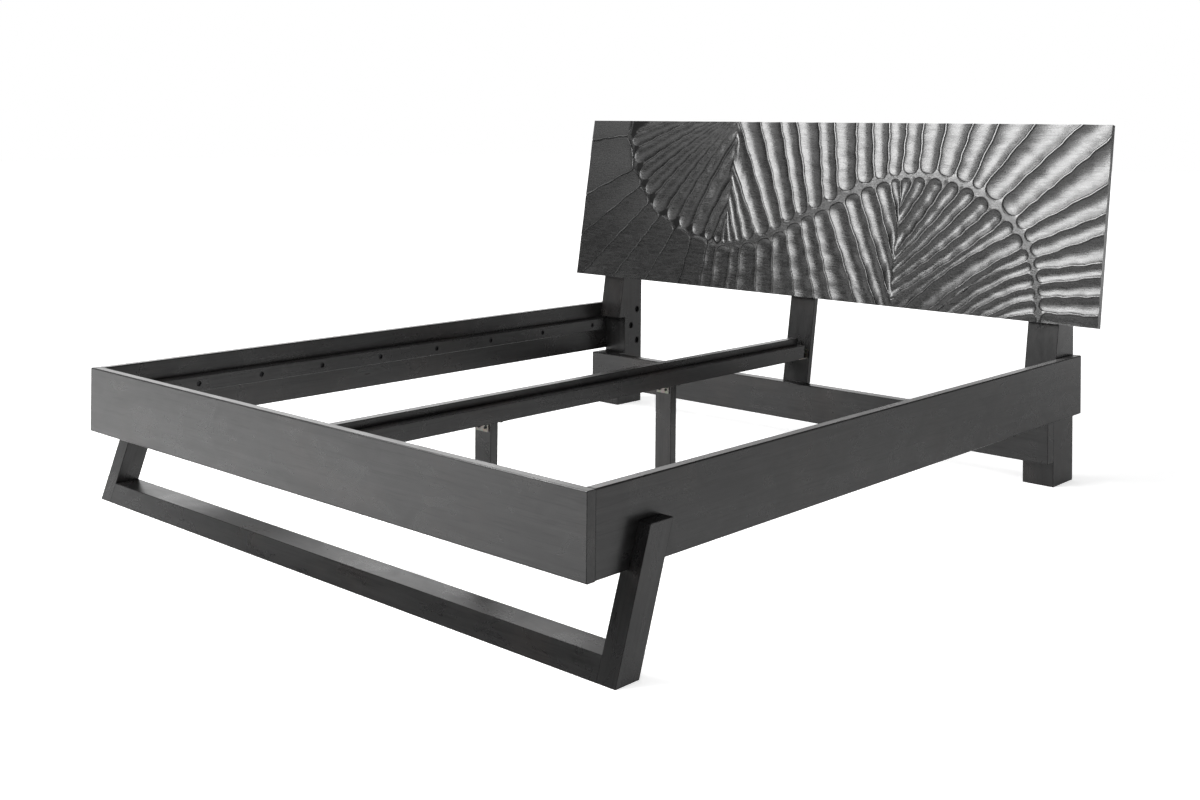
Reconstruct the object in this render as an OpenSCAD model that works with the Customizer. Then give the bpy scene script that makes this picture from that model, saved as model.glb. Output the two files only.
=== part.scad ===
// Bed frame with a leaning headboard: boards, battens, posts, a slanted foot frame and their fasteners.
// Frame: x runs across the bed, y from the foot to the head, z up. The floor is at z = 0 and the
// origin is at the middle of the outline on the floor. All lengths are in millimetres.

/* [Mattress space] */
// Width of the mattress
mattress_w = 1800; // [1400:10:2000]
// Length of the mattress
mattress_l = 2000; // [1900:10:2200]
// Room between the mattress and each side rail
side_gap = 10; // [2:1:25]
// Room between the mattress and the lower edge of the headboard
head_gap = 35; // [15:1:60]

/* [Rails and footboard] */
// Thickness of the side rails
rail_t = 25; // [22:1:35]
// Height of the side rails and the footboard
rail_h = 175; // [160:1:220]
// Height of the lower edge of the rails above the floor
rail_z = 203; // [200:1:260]
// Thickness of the footboard
footboard_t = 25; // [22:1:35]
// Overhang of the footboard past the outer face of each rail
footboard_lip = 1; // [0:0.5:5]
// Bevel along the long edges of the boards
edge_bevel = 2; // [0.5:0.5:4]

/* [Base supports] */
// Sideways thickness of the ledge battens
ledge_w = 30; // [25:1:35]
// Height of the ledge battens
ledge_h = 45; // [40:1:50]
// Depth of the top of the battens below the top of the rails
ledge_drop = 54; // [40:1:60]
// Gap between each end of a side batten and the board that it faces
ledge_end_gap = 14; // [5:1:30]
// Number of screws in each side batten
ledge_screw_count = 9; // [5:1:12]
// Distance of the end screws from the ends of the batten
ledge_screw_inset = 60; // [30:1:90]
// Share of the even spacing that is left at the foot end of the batten
ledge_screw_start = 0.85; // [0.7:0.01:1]

/* [Centre beam] */
// Thickness of the upright plank
plank_t = 25; // [22:1:35]
// Height of the plank above its battens
plank_rise = 21; // [10:1:30]
// Gap between each end of the beam and the board that carries it
beam_gap = 25; // [8:1:35]
// Number of screws through the beam
beam_screw_count = 8; // [4:1:12]
// Distance of the end screws from the ends of the beam
beam_screw_inset = 90; // [70:1:150]
// Width of the centre legs across the bed
leg_w = 60; // [50:1:80]
// Thickness of the centre legs along the bed
leg_t = 25; // [20:1:40]
// Distance from the footboard to the first centre leg
leg_start = 580; // [300:10:800]
// Distance between the two centre legs
leg_pitch = 740; // [400:10:900]

/* [Head posts] */
// Width of the head posts across the bed
post_w = 96; // [80:1:120]
// Depth of the head posts behind the lower edge of the headboard
post_head_d = 102; // [95:1:130]
// Height of the top of the three posts
post_top = 960; // [800:10:980]
// Depth of the notch for the corner of the slatted base
notch_d = 37; // [20:1:40]
// Height of the top of the notch above the battens
notch_rise = 4; // [2:1:10]
// Thickness of the cross rail
cross_t = 38; // [35:1:50]
// Height of the cross rail
cross_h = 122; // [90:1:130]
// Height of the lower edge of the cross rail above the floor
cross_z = 73; // [50:1:90]
// Width of the middle post
mid_w = 96; // [90:1:140]
// Thickness of the middle post
mid_t = 20; // [18:1:30]

/* [Headboard] */
// Length by which the headboard stands out past each rail
panel_overhang = 102.5; // [40:0.5:200]
// Height of the headboard along its lean
panel_h = 600; // [560:5:800]
// Thickness of the headboard
panel_t = 25; // [22:1:40]
// Height of the lower back edge of the headboard above the floor
panel_z = 478; // [440:1:520]
// Lean of the headboard from upright, in degrees
lean = 9.1; // [6:0.1:10.5]

/* [Foot frame] */
// Thickness of the slanted legs across the bed
foot_w = 49; // [40:1:60]
// Width of the slanted legs along the bed
foot_d = 69; // [60:1:90]
// Part of the leg that stands outside the rail
foot_lap = 31; // [28:1:36]
// Slant of the legs from upright, in degrees
foot_slant = 18.7; // [8:0.1:20]
// Distance of the foot of the legs behind the face of the footboard
foot_inset = 50; // [20:1:90]
// Height of the legs above the lower edge of the rails
foot_rise = 90; // [80:1:120]
// Height of the floor bar
bar_h = 49; // [40:1:60]

/* [Fasteners] */
// Clearance round every screw, bolt and dowel
fit = 0.15; // [0.05:0.01:0.3]
// Diameter of the wood screws
screw_d = 5; // [4:0.5:6]
// Diameter of the bracket screws
small_screw_d = 4; // [3:0.5:4.5]
// Diameter of the bolts
bolt_d = 8; // [6:1:8]
// Diameter of the dowels
dowel_d = 12; // [8:1:14]
// Thickness of the steel brackets
plate_t = 3; // [2:0.5:4]

/* [Hidden] */
$fn = 48;
eps = 0.01;
// Overrun of a cut past the face that it opens
over = 1;

// Levels and lines that several pieces share
inner_w = mattress_w + 2 * side_gap;
inner_x = inner_w / 2;
outer_x = inner_x + rail_t;
panel_w = 2 * (outer_x + panel_overhang);
rail_top = rail_z + rail_h;
ledge_z = rail_top - ledge_drop - ledge_h;
ledge_top = ledge_z + ledge_h;
cross_top = cross_z + cross_h;
lean_slope = tan(lean);
panel_back_y = footboard_t + mattress_l + head_gap + panel_t * cos(lean);
post_back_y = panel_back_y + post_head_d;
panel_top_y = panel_back_y + panel_h * sin(lean);
overall_l = max(post_back_y, panel_top_y);
rail_l = post_back_y - footboard_t;

// Line of the leaning front of the three posts, which is the back of the headboard
function front_y(z) = panel_back_y + (z - panel_z) * lean_slope;

// Stub tenon under the middle post, and the cross rail's place round it
tenon_t = 10;
tenon_w = 60;
tenon_h = 25;
tenon_wall = 6;
tenon_fit = 0.2;
post_front_y = front_y(cross_top) + tenon_t + tenon_wall;

// Ledge battens and their screws
ledge_start_y = footboard_t + ledge_end_gap;
ledge_l = post_front_y - ledge_end_gap - ledge_start_y;
ledge_bore_d = 14;
ledge_bore_h = 7;
ledge_screw_bite = 14;
ledge_screw_l = ledge_w - ledge_bore_h + ledge_screw_bite;
screw_head_d = 2 * screw_d;
screw_head_h = 3.5;
small_head_d = 2 * small_screw_d;
small_head_h = 2.5;

// Places of the ledge screws, which stand closer together toward the foot end
function ledge_screw_y(i) =
    let (t = i / (ledge_screw_count - 1))
    let (share = ledge_screw_start * t + (1 - ledge_screw_start) * t * t)
    ledge_start_y + ledge_screw_inset + share * (ledge_l - 2 * ledge_screw_inset);

// Centre beam
beam_half_w = plank_t / 2 + ledge_w;
plank_top = ledge_top + plank_rise;
beam_start_y = footboard_t + beam_gap;
beam_screw_l = ledge_w - ledge_bore_h + plank_t + ledge_w / 2;
seat_under = 28;
seat_l = beam_gap + seat_under;
upright_h = 30;
upright_screw_z = 18;
hanger_screw_l = 16;
hanger_screw_x = plank_t / 2 + ledge_w / 2;
leg_y = [footboard_t + leg_start, footboard_t + leg_start + leg_pitch];
angle_w = 46;
angle_h = 26;
angle_screw_x = 12;
angle_screw_out = 15;
angle_screw_l = 14;
leg_screw_tip = 1;
plate_hole_l = 2 * plate_t;
leg_screw_l = leg_t / 2 - leg_screw_tip;

// Bolts through the head posts, seen from the post's back edge and the rail's edges
bolt_head_d = 1.6 * bolt_d;
bolt_head_h = bolt_d;
bolt_socket_d = 0.75 * bolt_d;
bolt_bore_d = 22;
bolt_bore_h = 14;
insert_wall = 2.5;
insert_d = bolt_d + 2 * insert_wall;
insert_l = 18;
post_bolt_l = post_w - bolt_bore_h + insert_l;
post_bolt_edge = 25;
post_bolt_step = 34;
post_bolt_below = 25;
post_bolt_above = 32;
post_bolt_high = rail_top - post_bolt_below;
post_bolt_low = rail_z + post_bolt_above;
post_bolt_places = [
    [post_back_y - post_bolt_edge, post_bolt_high],
    [post_back_y - post_bolt_edge - post_bolt_step, (post_bolt_high + post_bolt_low) / 2],
    [post_back_y - post_bolt_edge, post_bolt_low]
];

// Dowels between the cross rail and the head posts
cross_dowel_in_rail = 26;
cross_dowel_in_post = 40;
cross_dowel_edge = 28;

// Screws that hold the headboard, as heights along the lean
panel_screw_heights = [70, 220, 370];
panel_screw_bite = 16;
panel_screw_seat = 24;
panel_bore_d = 14;
panel_bore_reach = 2 * post_head_d;

// Foot frame
foot_slope = tan(foot_slant);
foot_top = rail_z + foot_rise;
foot_outer_x = outer_x + foot_lap;
foot_inner_x = foot_outer_x - foot_w;
foot_dowel_l = 60;
foot_dowel_pitch = 30;
foot_bolt_tip = 7;
foot_bolt_bite = foot_lap - foot_bolt_tip;
foot_bolt_head_h = 5;
foot_bolt_above = 20;
foot_bolt_step = 28;
foot_bolt_heights = [rail_z + foot_bolt_above, rail_z + foot_bolt_above + foot_bolt_step];

// Front line of the slanted legs and the floor bar
function foot_y(z) = foot_inset + z * foot_slope;

// Corner brackets between the footboard and the rails
corner_leg = 40;
corner_h = 46;
corner_rise = 12;
corner_z = rail_z + corner_rise;
corner_screw_out = 27;
corner_screw_edge = 12;
corner_screw_l = 18;

// Helpers

// Moves bed coordinates, measured from the face of the footboard, to the part's own origin
module bed() {
    translate([0, -overall_l / 2, 0])
        children();
}

// Draws the children on the right (side 1) or, mirrored, on the left (side -1)
module on_side(side) {
    mirror([side < 0 ? 1 : 0, 0, 0])
        children();
}

// Section of a board with bevelled corners, centred on x and standing on y = 0
module board_section(w, h) {
    b = edge_bevel;
    polygon([[b - w / 2, 0], [w / 2 - b, 0], [w / 2, b], [w / 2, h - b],
        [w / 2 - b, h], [b - w / 2, h], [-w / 2, h - b], [-w / 2, b]]);
}

// Board along y, centred on x, from y = 0 to y = l
module board_along(w, l, h) {
    translate([0, l, 0])
        rotate([90, 0, 0])
            linear_extrude(l)
                board_section(w, h);
}

// Drawing in the y-z plane given a width across the bed, centred on x = 0
module across(w) {
    rotate([90, 0, 90])
        linear_extrude(w, center = true)
            children();
}

// Screw or bolt: its head lies below z = 0 and its shank runs up
module screw(d, l, head_d, head_h, socket_d) {
    difference() {
        union() {
            translate([0, 0, -head_h / 2])
                cylinder(h = l + head_h / 2, d = d);
            translate([0, 0, -head_h])
                cylinder(h = head_h, d = head_d);
        }
        translate([0, 0, -head_h - eps])
            cylinder(h = head_h / 2, d = socket_d, $fn = 6);
    }
}

// Hole for a shank that starts just below z = 0
module shank_hole(d, l) {
    translate([0, 0, -eps])
        cylinder(h = l + fit + eps, d = d + 2 * fit);
}

// Counterbore that ends on z = 0
module counterbore(d, h) {
    translate([0, 0, -h])
        cylinder(h = h, d = d);
}

module wood_screw(l) {
    screw(screw_d, l, screw_head_d, screw_head_h, screw_d / 2);
}

module small_screw(l) {
    screw(small_screw_d, l, small_head_d, small_head_h, small_screw_d / 2);
}

module dowel(l) {
    translate([0, 0, -l / 2])
        cylinder(h = l, d = dowel_d);
}

module dowel_hole(l) {
    translate([0, 0, -l / 2 - fit])
        cylinder(h = l + 2 * fit, d = dowel_d + 2 * fit);
}

// Places of the fasteners, each with its shank along the children's z

module at_ledge_screws() {
    for (i = [0 : ledge_screw_count - 1])
        translate([inner_x - ledge_w + ledge_bore_h, ledge_screw_y(i), ledge_z + ledge_h / 2])
            rotate([0, 90, 0])
                children();
}

module at_post_bolts() {
    for (place = post_bolt_places)
        translate([inner_x - post_w + bolt_bore_h, place[0], place[1]])
            rotate([0, 90, 0])
                children();
}

module at_rail_inserts() {
    for (place = post_bolt_places)
        translate([inner_x, place[0], place[1]])
            rotate([0, 90, 0])
                children();
}

module at_cross_dowels() {
    for (z = [cross_z + cross_dowel_edge, cross_top - cross_dowel_edge])
        translate([inner_x - post_w / 2, post_front_y + (cross_dowel_in_post - cross_dowel_in_rail) / 2, z])
            rotate([-90, 0, 0])
                children();
}

module at_foot_bolts() {
    for (z = foot_bolt_heights)
        translate([inner_x, foot_y(z) + foot_d / 2, z])
            rotate([0, 90, 0])
                children();
}

module at_foot_dowels() {
    z = bar_h / 2;
    for (s = [-1, 1])
        translate([foot_inner_x, foot_y(z) + foot_d / 2 + s * foot_dowel_pitch / 2, z])
            rotate([0, 90, 0])
                children();
}

module at_corner_rail_screws() {
    for (z = [corner_z + corner_screw_edge, corner_z + corner_h - corner_screw_edge])
        translate([inner_x - plate_t, footboard_t + corner_screw_out, z])
            rotate([0, 90, 0])
                children();
}

module at_corner_board_screws() {
    for (z = [corner_z + corner_screw_edge, corner_z + corner_h - corner_screw_edge])
        translate([inner_x - corner_screw_out, footboard_t + plate_t, z])
            rotate([90, 0, 0])
                children();
}

module at_corner_screws() {
    at_corner_rail_screws()
        children();
    at_corner_board_screws()
        children();
}

// Screws into the headboard, with their heads at the given depth behind its back
module at_panel_screws(x, seat) {
    for (s = panel_screw_heights)
        translate([x, panel_back_y, panel_z])
            rotate([-lean, 0, 0])
                translate([0, seat, s])
                    rotate([90, 0, 0])
                        children();
}

module at_beam_screws() {
    first = beam_start_y + beam_screw_inset;
    last = front_y(ledge_z) - beam_gap - beam_screw_inset;
    for (i = [0 : beam_screw_count - 1])
        translate([-beam_half_w + ledge_bore_h, first + (last - first) * i / (beam_screw_count - 1),
            ledge_z + ledge_h / 2])
            rotate([0, 90, 0])
                children();
}

// The brackets at the two ends of the beam are drawn against a wall at y = 0 that leans by an angle
module at_beam_head() {
    translate([0, front_y(ledge_z), ledge_z])
        children();
}

module at_beam_foot() {
    translate([0, footboard_t, ledge_z])
        mirror([0, 1, 0])
            children();
}

module at_upright_screws(angle) {
    for (s = [-1, 1])
        translate([s * hanger_screw_x, upright_screw_z * tan(angle) - plate_t, upright_screw_z])
            rotate([-90 - angle, 0, 0])
                children();
}

module at_seat_screws() {
    for (s = [-1, 1])
        translate([s * hanger_screw_x, seat_under / 2 - seat_l, 0])
            children();
}

// The angle brackets of a centre leg, in front of it and behind it
module at_leg_sides(y) {
    translate([0, y, ledge_z])
        children();
    translate([0, y + leg_t, ledge_z])
        mirror([0, 1, 0])
            children();
}

module at_leg_face_screws() {
    for (s = [-1, 1])
        translate([s * angle_screw_x, -plate_t, -angle_screw_out])
            rotate([-90, 0, 0])
                children();
}

module at_leg_beam_screws() {
    for (s = [-1, 1])
        translate([s * hanger_screw_x, -angle_screw_out, -plate_t])
            children();
}

// Boards of the frame

module footboard_board() {
    color("dimgray")
        bed()
            difference() {
                translate([0, footboard_t / 2, rail_z])
                    rotate([0, 0, 90])
                        translate([0, -outer_x - footboard_lip, 0])
                            board_along(footboard_t, 2 * (outer_x + footboard_lip), rail_h);
                for (side = [-1, 1])
                    on_side(side)
                        at_corner_board_screws()
                            shank_hole(small_screw_d, corner_screw_l);
                at_beam_foot()
                    at_upright_screws(0)
                        shank_hole(small_screw_d, hanger_screw_l);
            }
}

module rail(side) {
    color("dimgray")
        on_side(side)
            bed()
                difference() {
                    translate([inner_x + rail_t / 2, footboard_t, rail_z])
                        board_along(rail_t, rail_l, rail_h);
                    at_ledge_screws()
                        shank_hole(screw_d, ledge_screw_l);
                    at_rail_inserts()
                        shank_hole(insert_d, insert_l);
                    at_foot_bolts()
                        shank_hole(bolt_d, rail_t + over);
                    at_corner_rail_screws()
                        shank_hole(small_screw_d, corner_screw_l);
                }
}

module side_ledge(side) {
    color("dimgray")
        on_side(side)
            bed()
                difference() {
                    translate([inner_x - ledge_w / 2, ledge_start_y, ledge_z])
                        board_along(ledge_w, ledge_l, ledge_h);
                    at_ledge_screws() {
                        shank_hole(screw_d, ledge_screw_l);
                        counterbore(ledge_bore_d, ledge_bore_h + over);
                    }
                }
}

module ledge_screws(side) {
    color("black")
        on_side(side)
            bed()
                at_ledge_screws()
                    wood_screw(ledge_screw_l);
}

// Centre beam

// Side view of a board of the beam, cut at the head end along the lean of the middle post
module beam_outline(top) {
    polygon([[beam_start_y, ledge_z], [front_y(ledge_z) - beam_gap, ledge_z],
        [front_y(top) - beam_gap, top], [beam_start_y, top]]);
}

module beam_end_recess() {
    translate([-beam_half_w - over, -seat_l, -over])
        cube([2 * (beam_half_w + over), seat_l, plate_t + over]);
}

// Recesses under both ends of the beam and the holes of its screws
module beam_cuts() {
    at_beam_head()
        beam_end_recess();
    at_beam_foot()
        beam_end_recess();
    at_beam_head()
        at_seat_screws()
            shank_hole(small_screw_d, hanger_screw_l);
    at_beam_foot()
        at_seat_screws()
            shank_hole(small_screw_d, hanger_screw_l);
    at_beam_screws() {
        shank_hole(screw_d, beam_screw_l);
        counterbore(ledge_bore_d, ledge_bore_h + over);
    }
    for (y = leg_y)
        at_leg_sides(y)
            at_leg_beam_screws()
                shank_hole(small_screw_d, angle_screw_l);
}

module plank() {
    color("dimgray")
        bed()
            difference() {
                across(plank_t)
                    beam_outline(plank_top);
                beam_cuts();
            }
}

module beam_ledge(side) {
    color("dimgray")
        bed()
            difference() {
                translate([side * (plank_t + ledge_w) / 2, 0, 0])
                    across(ledge_w)
                        beam_outline(ledge_top);
                beam_cuts();
            }
}

module beam_screw_row() {
    color("black")
        bed()
            at_beam_screws()
                wood_screw(beam_screw_l);
}

// Bent plate that carries one end of the beam on a wall leaning by an angle
module hanger(angle) {
    slope = tan(angle);
    difference() {
        across(2 * beam_half_w)
            polygon([[-seat_l, 0], [0, 0], [upright_h * slope, upright_h],
                [upright_h * slope - plate_t, upright_h], [plate_t * slope - plate_t, plate_t],
                [-seat_l, plate_t]]);
        at_upright_screws(angle)
            shank_hole(small_screw_d, plate_hole_l);
        at_seat_screws()
            shank_hole(small_screw_d, plate_hole_l);
    }
}

module hanger_screws(angle) {
    at_upright_screws(angle)
        small_screw(hanger_screw_l);
    at_seat_screws()
        small_screw(hanger_screw_l);
}

module beam_bracket_at_head() {
    color("gold")
        bed()
            at_beam_head()
                hanger(lean);
}

module beam_bracket_at_foot() {
    color("gold")
        bed()
            at_beam_foot()
                hanger(0);
}

module beam_bracket_screws_at_head() {
    color("silver")
        bed()
            at_beam_head()
                hanger_screws(lean);
}

module beam_bracket_screws_at_foot() {
    color("silver")
        bed()
            at_beam_foot()
                hanger_screws(0);
}

// Centre legs

module centre_leg(y) {
    color("dimgray")
        bed()
            difference() {
                translate([-leg_w / 2, y, 0])
                    cube([leg_w, leg_t, ledge_z]);
                at_leg_sides(y)
                    at_leg_face_screws()
                        shank_hole(small_screw_d, leg_screw_l);
            }
}

module leg_brackets(y) {
    color("gold")
        bed()
            at_leg_sides(y)
                difference() {
                    union() {
                        across(angle_w)
                            polygon([[0, 0], [-plate_t, 0], [-plate_t, -angle_h], [0, -angle_h]]);
                        across(2 * hanger_screw_x + angle_screw_x)
                            polygon([[0, 0], [-angle_h, 0], [-angle_h, -plate_t], [0, -plate_t]]);
                    }
                    at_leg_face_screws()
                        shank_hole(small_screw_d, plate_hole_l);
                    at_leg_beam_screws()
                        shank_hole(small_screw_d, plate_hole_l);
                }
}

module leg_bracket_screws(y) {
    color("silver")
        bed()
            at_leg_sides(y) {
                at_leg_face_screws()
                    small_screw(leg_screw_l);
                at_leg_beam_screws()
                    small_screw(angle_screw_l);
            }
}

// Head end

// Side view of a head post: upright back, leaning front and the notch above the cross rail
module post_outline() {
    notch_top = ledge_top + notch_rise;
    notch_y = post_front_y + notch_d;
    polygon([[post_front_y, 0], [post_back_y, 0], [post_back_y, post_top],
        [front_y(post_top), post_top], [front_y(notch_top), notch_top], [notch_y, notch_top],
        [notch_y, cross_top], [post_front_y, cross_top]]);
}

module head_post(side) {
    color("dimgray")
        on_side(side)
            bed()
                difference() {
                    translate([inner_x - post_w / 2, 0, 0])
                        across(post_w)
                            post_outline();
                    at_post_bolts() {
                        shank_hole(bolt_d, post_bolt_l);
                        counterbore(bolt_bore_d, bolt_bore_h + over);
                    }
                    at_cross_dowels()
                        dowel_hole(cross_dowel_in_rail + cross_dowel_in_post);
                    at_panel_screws(inner_x - post_w / 2, panel_screw_seat) {
                        shank_hole(screw_d, panel_screw_seat + over);
                        counterbore(panel_bore_d, panel_bore_reach);
                    }
                }
}

module post_bolts(side) {
    color("silver")
        on_side(side)
            bed()
                at_post_bolts()
                    screw(bolt_d, post_bolt_l, bolt_head_d, bolt_head_h, bolt_socket_d);
}

module rail_inserts(side) {
    color("goldenrod")
        on_side(side)
            bed()
                at_rail_inserts()
                    difference() {
                        cylinder(h = insert_l, d = insert_d);
                        translate([0, 0, -over])
                            cylinder(h = insert_l + 2 * over, d = bolt_d + 2 * fit);
                    }
}

module cross_board() {
    color("dimgray")
        bed()
            difference() {
                translate([0, post_front_y - cross_t / 2, cross_z])
                    rotate([0, 0, 90])
                        translate([0, -inner_x, 0])
                            board_along(cross_t, inner_w, cross_h);
                for (side = [-1, 1])
                    on_side(side)
                        at_cross_dowels()
                            dowel_hole(cross_dowel_in_rail + cross_dowel_in_post);
                translate([-tenon_w / 2 - tenon_fit, front_y(cross_top) - tenon_fit,
                    cross_top - tenon_h - over])
                    cube([tenon_w + 2 * tenon_fit, tenon_t + 2 * tenon_fit, tenon_h + 2 * over]);
            }
}

module cross_dowels(side) {
    color("burlywood")
        on_side(side)
            bed()
                at_cross_dowels()
                    dowel(cross_dowel_in_rail + cross_dowel_in_post);
}

module mid_post() {
    run = mid_t / cos(lean);
    color("dimgray")
        bed()
            difference() {
                union() {
                    across(mid_w)
                        polygon([[front_y(cross_top), cross_top], [front_y(cross_top) + run, cross_top],
                            [front_y(post_top) + run, post_top], [front_y(post_top), post_top]]);
                    translate([-tenon_w / 2, front_y(cross_top), cross_top - tenon_h])
                        cube([tenon_w, tenon_t, tenon_h + tenon_wall]);
                }
                at_panel_screws(0, mid_t)
                    shank_hole(screw_d, mid_t + over);
                at_beam_head()
                    at_upright_screws(lean)
                        shank_hole(small_screw_d, hanger_screw_l);
            }
}

// Headboard

module panel() {
    color("dimgray")
        bed()
            difference() {
                translate([0, panel_back_y, panel_z])
                    rotate([-lean, 0, 0])
                        translate([-panel_w / 2, -panel_t / 2, 0])
                            rotate([0, 0, -90])
                                board_along(panel_t, panel_w, panel_h);
                for (side = [-1, 1])
                    on_side(side)
                        at_panel_screws(inner_x - post_w / 2, panel_screw_seat)
                            shank_hole(screw_d, panel_screw_seat + panel_screw_bite);
                at_panel_screws(0, mid_t)
                    shank_hole(screw_d, mid_t + panel_screw_bite);
            }
}

module panel_side_screws(side) {
    color("black")
        on_side(side)
            bed()
                at_panel_screws(inner_x - post_w / 2, panel_screw_seat)
                    wood_screw(panel_screw_seat + panel_screw_bite);
}

module panel_middle_screws() {
    color("black")
        bed()
            at_panel_screws(0, mid_t)
                wood_screw(mid_t + panel_screw_bite);
}

// Foot frame

// Side view of the slanted leg or the bar between two heights
module slant_outline(low, high) {
    polygon([[foot_y(low), low], [foot_y(low) + foot_d, low],
        [foot_y(high) + foot_d, high], [foot_y(high), high]]);
}

module foot_leg(side) {
    color("dimgray")
        on_side(side)
            bed()
                difference() {
                    union() {
                        translate([foot_outer_x - foot_lap / 2, 0, 0])
                            across(foot_lap)
                                slant_outline(0, foot_top);
                        translate([(foot_inner_x + foot_outer_x) / 2, 0, 0])
                            across(foot_w)
                                slant_outline(0, rail_z);
                    }
                    at_foot_bolts()
                        shank_hole(bolt_d, rail_t + foot_bolt_bite);
                    at_foot_dowels()
                        dowel_hole(foot_dowel_l);
                }
}

module floor_bar() {
    color("dimgray")
        bed()
            difference() {
                across(2 * foot_inner_x)
                    slant_outline(0, bar_h);
                for (side = [-1, 1])
                    on_side(side)
                        at_foot_dowels()
                            dowel_hole(foot_dowel_l);
            }
}

module foot_dowels(side) {
    color("burlywood")
        on_side(side)
            bed()
                at_foot_dowels()
                    dowel(foot_dowel_l);
}

module foot_bolts(side) {
    color("silver")
        on_side(side)
            bed()
                at_foot_bolts()
                    screw(bolt_d, rail_t + foot_bolt_bite, bolt_head_d, foot_bolt_head_h, bolt_d / 2);
}

// Corner brackets

module corner_bracket(side) {
    color("silver")
        on_side(side)
            bed()
                difference() {
                    translate([inner_x, footboard_t, corner_z])
                        linear_extrude(corner_h)
                            polygon([[0, 0], [0, corner_leg], [-plate_t, corner_leg], [-plate_t, plate_t],
                                [-corner_leg, plate_t], [-corner_leg, 0]]);
                    at_corner_screws()
                        shank_hole(small_screw_d, plate_hole_l);
                }
}

module corner_screws(side) {
    color("black")
        on_side(side)
            bed()
                at_corner_screws()
                    small_screw(corner_screw_l);
}

footboard_board();  // footboard
rail(-1);  // rail_left
rail(1);  // rail_right
side_ledge(-1);  // ledge_left
side_ledge(1);  // ledge_right
ledge_screws(-1);  // ledge_screws_left
ledge_screws(1);  // ledge_screws_right
plank();  // beam_plank
beam_ledge(-1);  // beam_ledge_left
beam_ledge(1);  // beam_ledge_right
beam_screw_row();  // beam_screws
beam_bracket_at_head();  // beam_bracket_head
beam_bracket_at_foot();  // beam_bracket_foot
beam_bracket_screws_at_head();  // beam_bracket_screws_head
beam_bracket_screws_at_foot();  // beam_bracket_screws_foot
centre_leg(leg_y[0]);  // centre_leg_foot
centre_leg(leg_y[1]);  // centre_leg_head
leg_brackets(leg_y[0]);  // leg_brackets_foot
leg_brackets(leg_y[1]);  // leg_brackets_head
leg_bracket_screws(leg_y[0]);  // leg_bracket_screws_foot
leg_bracket_screws(leg_y[1]);  // leg_bracket_screws_head
head_post(-1);  // post_left
head_post(1);  // post_right
post_bolts(-1);  // post_bolts_left
post_bolts(1);  // post_bolts_right
rail_inserts(-1);  // rail_inserts_left
rail_inserts(1);  // rail_inserts_right
cross_board();  // cross_rail
cross_dowels(-1);  // cross_dowels_left
cross_dowels(1);  // cross_dowels_right
mid_post();  // middle_post
panel();  // headboard
panel_side_screws(-1);  // headboard_screws_left
panel_side_screws(1);  // headboard_screws_right
panel_middle_screws();  // headboard_screws_middle
foot_leg(-1);  // foot_leg_left
foot_leg(1);  // foot_leg_right
floor_bar();  // foot_bar
foot_dowels(-1);  // foot_dowels_left
foot_dowels(1);  // foot_dowels_right
foot_bolts(-1);  // foot_bolts_left
foot_bolts(1);  // foot_bolts_right
corner_bracket(-1);  // corner_bracket_left
corner_bracket(1);  // corner_bracket_right
corner_screws(-1);  // corner_screws_left
corner_screws(1);  // corner_screws_right
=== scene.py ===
import math
import random

import bmesh
import bpy
from mathutils import Matrix, Vector, noise


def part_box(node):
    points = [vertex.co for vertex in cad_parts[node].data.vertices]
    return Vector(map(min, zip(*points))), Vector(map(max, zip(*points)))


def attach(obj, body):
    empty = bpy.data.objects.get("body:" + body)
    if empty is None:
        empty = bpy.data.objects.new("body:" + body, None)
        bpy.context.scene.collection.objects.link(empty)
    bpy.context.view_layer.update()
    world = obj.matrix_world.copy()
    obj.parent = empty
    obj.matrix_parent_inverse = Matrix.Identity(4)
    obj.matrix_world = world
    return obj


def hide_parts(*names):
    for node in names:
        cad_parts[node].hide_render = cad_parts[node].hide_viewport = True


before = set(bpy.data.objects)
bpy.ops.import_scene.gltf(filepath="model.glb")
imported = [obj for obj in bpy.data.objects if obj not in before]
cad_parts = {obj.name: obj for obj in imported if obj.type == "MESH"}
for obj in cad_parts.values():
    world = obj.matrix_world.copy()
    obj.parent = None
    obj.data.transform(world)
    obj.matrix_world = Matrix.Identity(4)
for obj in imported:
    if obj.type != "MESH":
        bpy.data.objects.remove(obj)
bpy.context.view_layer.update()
mm = 0.001

# Camera, at the place and angle that the photograph's corners give

shot = {
    "place": (2.729, -3.0293, 1.068),
    "turn": 0.7398,
    "pitch": 0.0023,
    "roll": 0.0088,
    "focalPixels": 1411,
    "centrePixel": (600.7, 119),
    "imagePixels": (1200, 800),
    "sensor": 36,
}


def addCamera():
    wide, high = shot["imagePixels"]
    data = bpy.data.cameras.new("viewCamera")
    data.sensor_width = shot["sensor"]
    data.lens = shot["sensor"] * shot["focalPixels"] / wide
    data.shift_x = (wide / 2 - shot["centrePixel"][0]) / wide
    data.shift_y = (shot["centrePixel"][1] - high / 2) / wide
    camera = bpy.data.objects.new("viewCamera", data)
    turned = Matrix.Rotation(shot["turn"], 4, "Z") @ Matrix.Rotation(math.pi / 2 + shot["pitch"], 4, "X")
    camera.matrix_world = Matrix.Translation(shot["place"]) @ turned @ Matrix.Rotation(shot["roll"], 4, "Z")
    bpy.context.scene.collection.objects.link(camera)
    bpy.context.scene.camera = camera


addCamera()
print("camera done")

# Node helpers


def newNode(tree, kind, settings=None, inputs=None):
    made = tree.nodes.new(kind)
    for name, value in (settings or {}).items():
        setattr(made, name, value)
    for name, value in (inputs or {}).items():
        if isinstance(value, bpy.types.NodeSocket):
            tree.links.new(value, made.inputs[name])
        else:
            made.inputs[name].default_value = value
    return made


def newMaterial(name):
    material = bpy.data.materials.new(name)
    material.use_nodes = True
    material.node_tree.nodes.clear()
    return material, material.node_tree


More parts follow.
